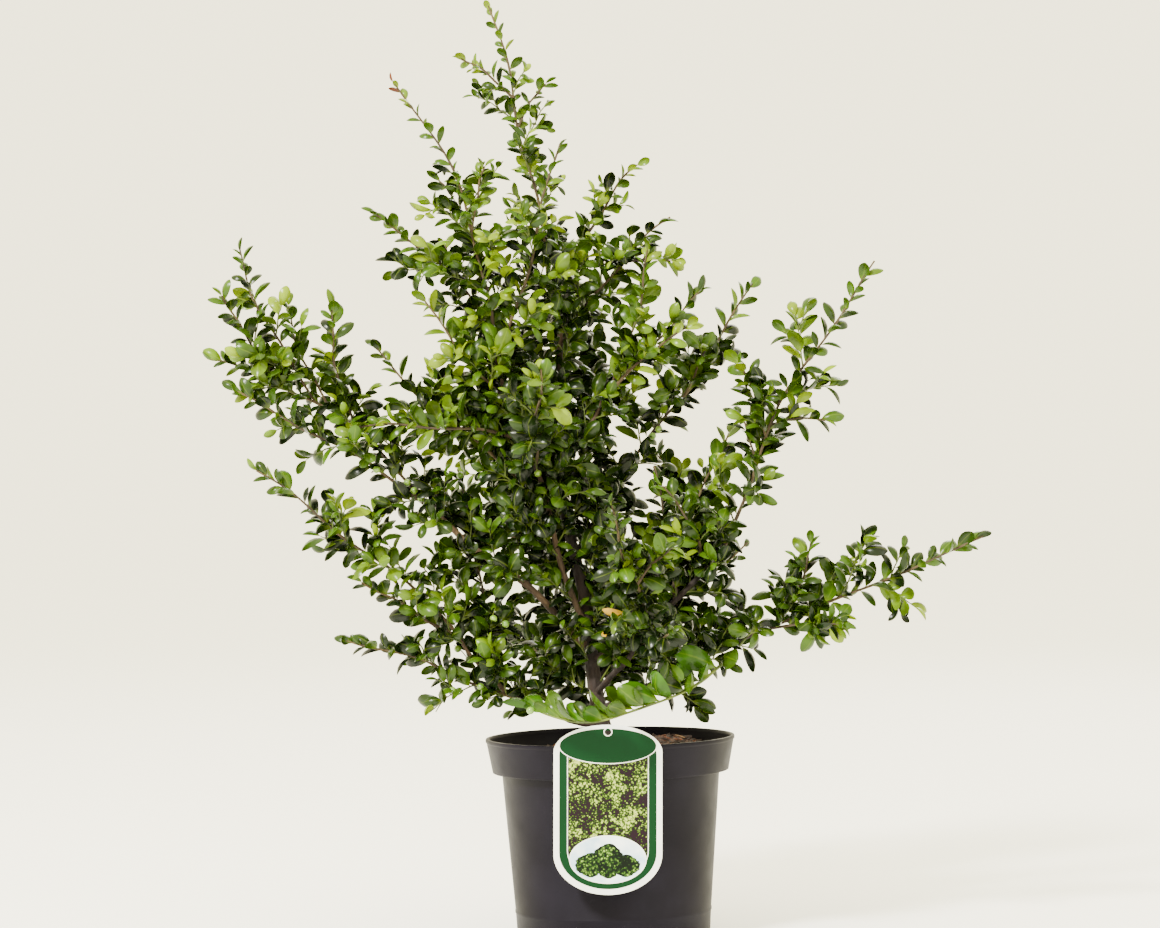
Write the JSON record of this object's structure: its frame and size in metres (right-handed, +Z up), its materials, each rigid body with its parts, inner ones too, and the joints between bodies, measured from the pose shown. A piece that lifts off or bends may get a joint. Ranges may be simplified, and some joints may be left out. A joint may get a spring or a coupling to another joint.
{
  "type": "potted convexa japanese holly",
  "caption": "Young evergreen holly shrub with a short leaning trunk, open boughs and small rounded leaves, growing in a round nursery pot with a hanging plant label.",
  "frame": {"origin": "centre of the pot's flat underside, at floor level", "axes": "+Z up along the pot's axis, -Y towards the side that the label hangs on, +X to the right of someone facing the label"},
  "size_m": [0.5763, 0.3978, 0.7061],
  "materials": {
    "pot_plastic": "satin black moulded plastic",
    "potting_soil": "loose, moist, with bark fibres",
    "label_card": "printed, semi-gloss",
    "bark": "thin dull bark",
    "holly_foliage": "glossy leaves"
  },
  "bodies": {
    "root": {"bough_back_high": "bark", "bough_back_left": "bark", "bough_back_low": "bark", "bough_back_right": "bark", "bough_front": "bark", "bough_front_low": "bark", "bough_high_right": "bark", "bough_leader": "bark", "bough_left": "bark", "bough_low_left": "bark", "bough_low_left_end": "bark", "bough_low_right": "bark", "bough_mid_right": "bark", "bough_right": "bark", "foliage_back_high": "holly_foliage", "foliage_back_high_left": "holly_foliage", "foliage_back_high_right": "holly_foliage", "foliage_back_left": "holly_foliage", "foliage_back_left_low": "holly_foliage", "foliage_back_low": "holly_foliage", "foliage_back_low_left": "holly_foliage", "foliage_back_low_right": "holly_foliage", "foliage_back_right": "holly_foliage", "foliage_back_right_low": "holly_foliage", "foliage_base_left": "holly_foliage", "foliage_centre_riser": "holly_foliage", "foliage_front": "holly_foliage", "foliage_front_arch": "holly_foliage", "foliage_front_high": "holly_foliage", "foliage_front_left": "holly_foliage", "foliage_front_low": "holly_foliage", "foliage_high_left": "holly_foliage", "foliage_high_right": "holly_foliage", "foliage_high_riser": "holly_foliage", "foliage_inner_left": "holly_foliage", "foliage_inner_riser": "holly_foliage", "foliage_left": "holly_foliage", "foliage_left_fan": "holly_foliage", "foliage_low_left": "holly_foliage", "foliage_low_left_spur": "holly_foliage", "foliage_low_right": "holly_foliage", "foliage_mid_left": "holly_foliage", "foliage_mid_right": "holly_foliage", "foliage_right": "holly_foliage", "foliage_right_front": "holly_foliage", "foliage_right_inner": "holly_foliage", "foliage_top": "holly_foliage", "foliage_upper_front": "holly_foliage", "foliage_upper_left": "holly_foliage", "foliage_upper_right": "holly_foliage", "label": "label_card", "pot": "pot_plastic", "soil": "potting_soil", "trunk": "bark"}
  },
  "joints": []
}
